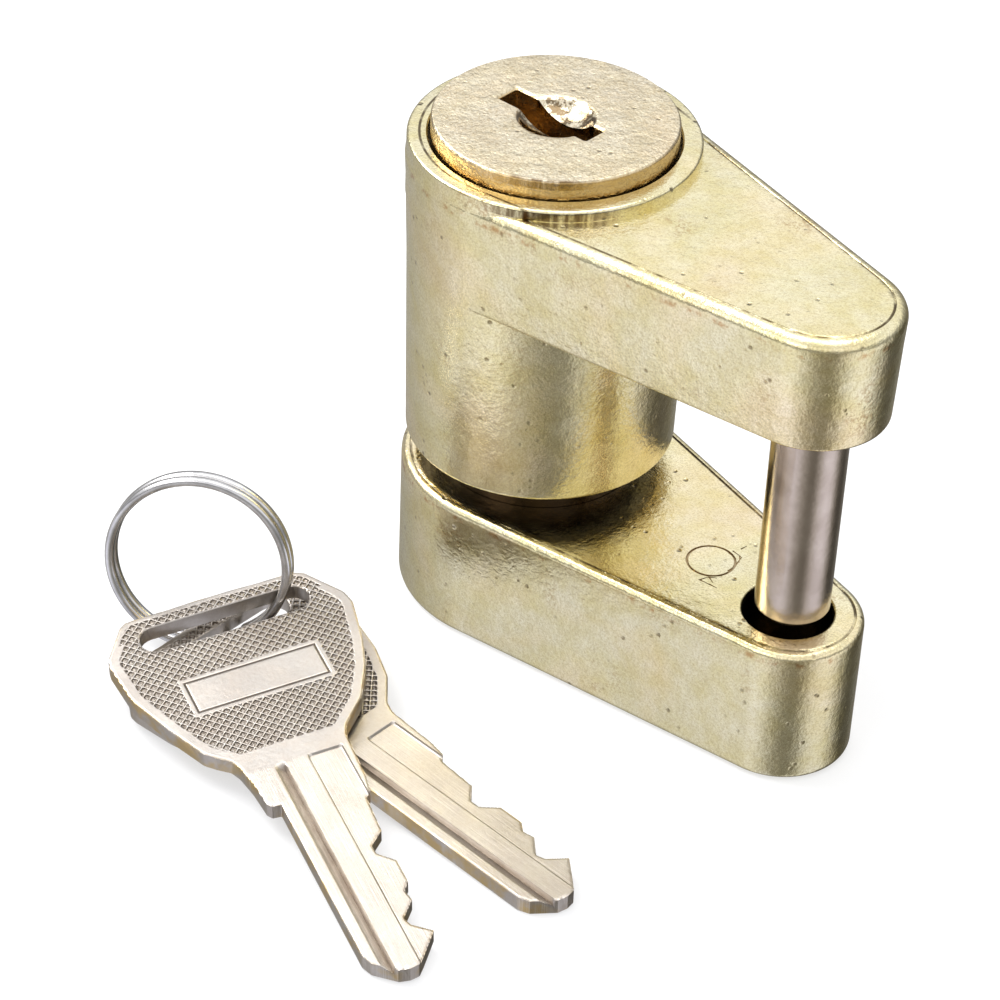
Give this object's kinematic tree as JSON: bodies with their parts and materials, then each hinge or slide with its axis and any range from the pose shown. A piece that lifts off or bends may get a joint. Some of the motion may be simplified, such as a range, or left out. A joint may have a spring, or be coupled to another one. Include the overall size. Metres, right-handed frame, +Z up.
{
  "type": "hitch pin lock",
  "caption": "Key-operated pin lock for a trailer coupler latch: a teardrop upper body carries a steel shackle pin and turning key plug and locks onto a matching base block.",
  "frame": {"origin": "on the barrel's axis at the base block's underside", "axes": "+Z up along the barrel and the shackle pin, +X from the barrel towards the shackle pin"},
  "size_m": [0.0559, 0.058, 0.0471],
  "materials": {
    "gold_plate": "satin",
    "gold_face": "satin",
    "dark_steel": "gloss",
    "ground_steel": "gloss",
    "spring_steel": "satin",
    "bright_steel": "gloss",
    "zinc": "satin",
    "brass": "satin",
    "nickel_silver": "satin"
  },
  "bodies": {
    "base": {"base_body": "gold_plate", "locking_post": "dark_steel"},
    "head": {"lock_body": "gold_plate", "shackle_pin": "ground_steel", "end_ring": "zinc", "cylinder_shell": "brass"},
    "plug": {"lock_plug": "gold_face", "drive_cam": "zinc", "cam_clip": "spring_steel", "wafer_spring_1": "spring_steel", "wafer_spring_2": "spring_steel", "wafer_spring_3": "spring_steel", "wafer_spring_4": "spring_steel", "wafer_spring_5": "spring_steel"},
    "latch": {"latch_plate": "spring_steel"},
    "wafer_1_body": {"wafer_1": "brass"},
    "wafer_2_body": {"wafer_2": "brass"},
    "wafer_3_body": {"wafer_3": "brass"},
    "wafer_4_body": {"wafer_4": "brass"},
    "wafer_5_body": {"wafer_5": "brass"},
    "ring": {"key_ring": "bright_steel"},
    "key_a_body": {"key_a": "nickel_silver"},
    "key_b_body": {"key_b": "nickel_silver"}
  },
  "joints": [
    {"name": "head_lift", "type": "slide", "parent": "base", "child": "head", "axis": [0, 0, 1], "range_m": [-0.0027, 0.025]},
    {"name": "plug_turn", "type": "hinge", "parent": "head", "child": "plug", "pos_m": [0, 0, 0.045], "axis": [0, 0, 1], "range_deg": [0, 90]},
    {"name": "latch_slide", "type": "slide", "parent": "head", "child": "latch", "axis": [1, 0, 0], "range_m": [0, 0.00121]},
    {"name": "wafer_1_slide", "type": "slide", "parent": "plug", "child": "wafer_1_body", "axis": [0.9969, 0.0785, 0], "range_m": [0, 0.0007]},
    {"name": "wafer_2_slide", "type": "slide", "parent": "plug", "child": "wafer_2_body", "axis": [0.9969, 0.0785, 0], "range_m": [0, 0.0007]},
    {"name": "wafer_3_slide", "type": "slide", "parent": "plug", "child": "wafer_3_body", "axis": [0.9969, 0.0785, 0], "range_m": [0, 0.0007]},
    {"name": "wafer_4_slide", "type": "slide", "parent": "plug", "child": "wafer_4_body", "axis": [0.9969, 0.0785, 0], "range_m": [0, 0.0007]},
    {"name": "wafer_5_slide", "type": "slide", "parent": "plug", "child": "wafer_5_body", "axis": [0.9969, 0.0785, 0], "range_m": [0, 0.0007]},
    {"name": "ring_carry", "type": "slide", "parent": "base", "child": "ring", "axis": [0, 0, 1], "range_m": [0, 0.03]},
    {"name": "key_a_swing", "type": "hinge", "parent": "ring", "child": "key_a_body", "pos_m": [-0.00609, -0.02528, 0.0046], "axis": [0.0539, -0.0942, 0.9941], "range_deg": [-4.5, 6]},
    {"name": "key_b_swing", "type": "hinge", "parent": "ring", "child": "key_b_body", "pos_m": [-0.00749, -0.02688, 0.00216], "axis": [0.0289, -0.0442, 0.9986], "range_deg": [-2.5, 4]}
  ],
  "couplings": [
    {"joint": "latch_slide", "follows": "plug_turn", "m_per_rad": 0.00076394}
  ]
}
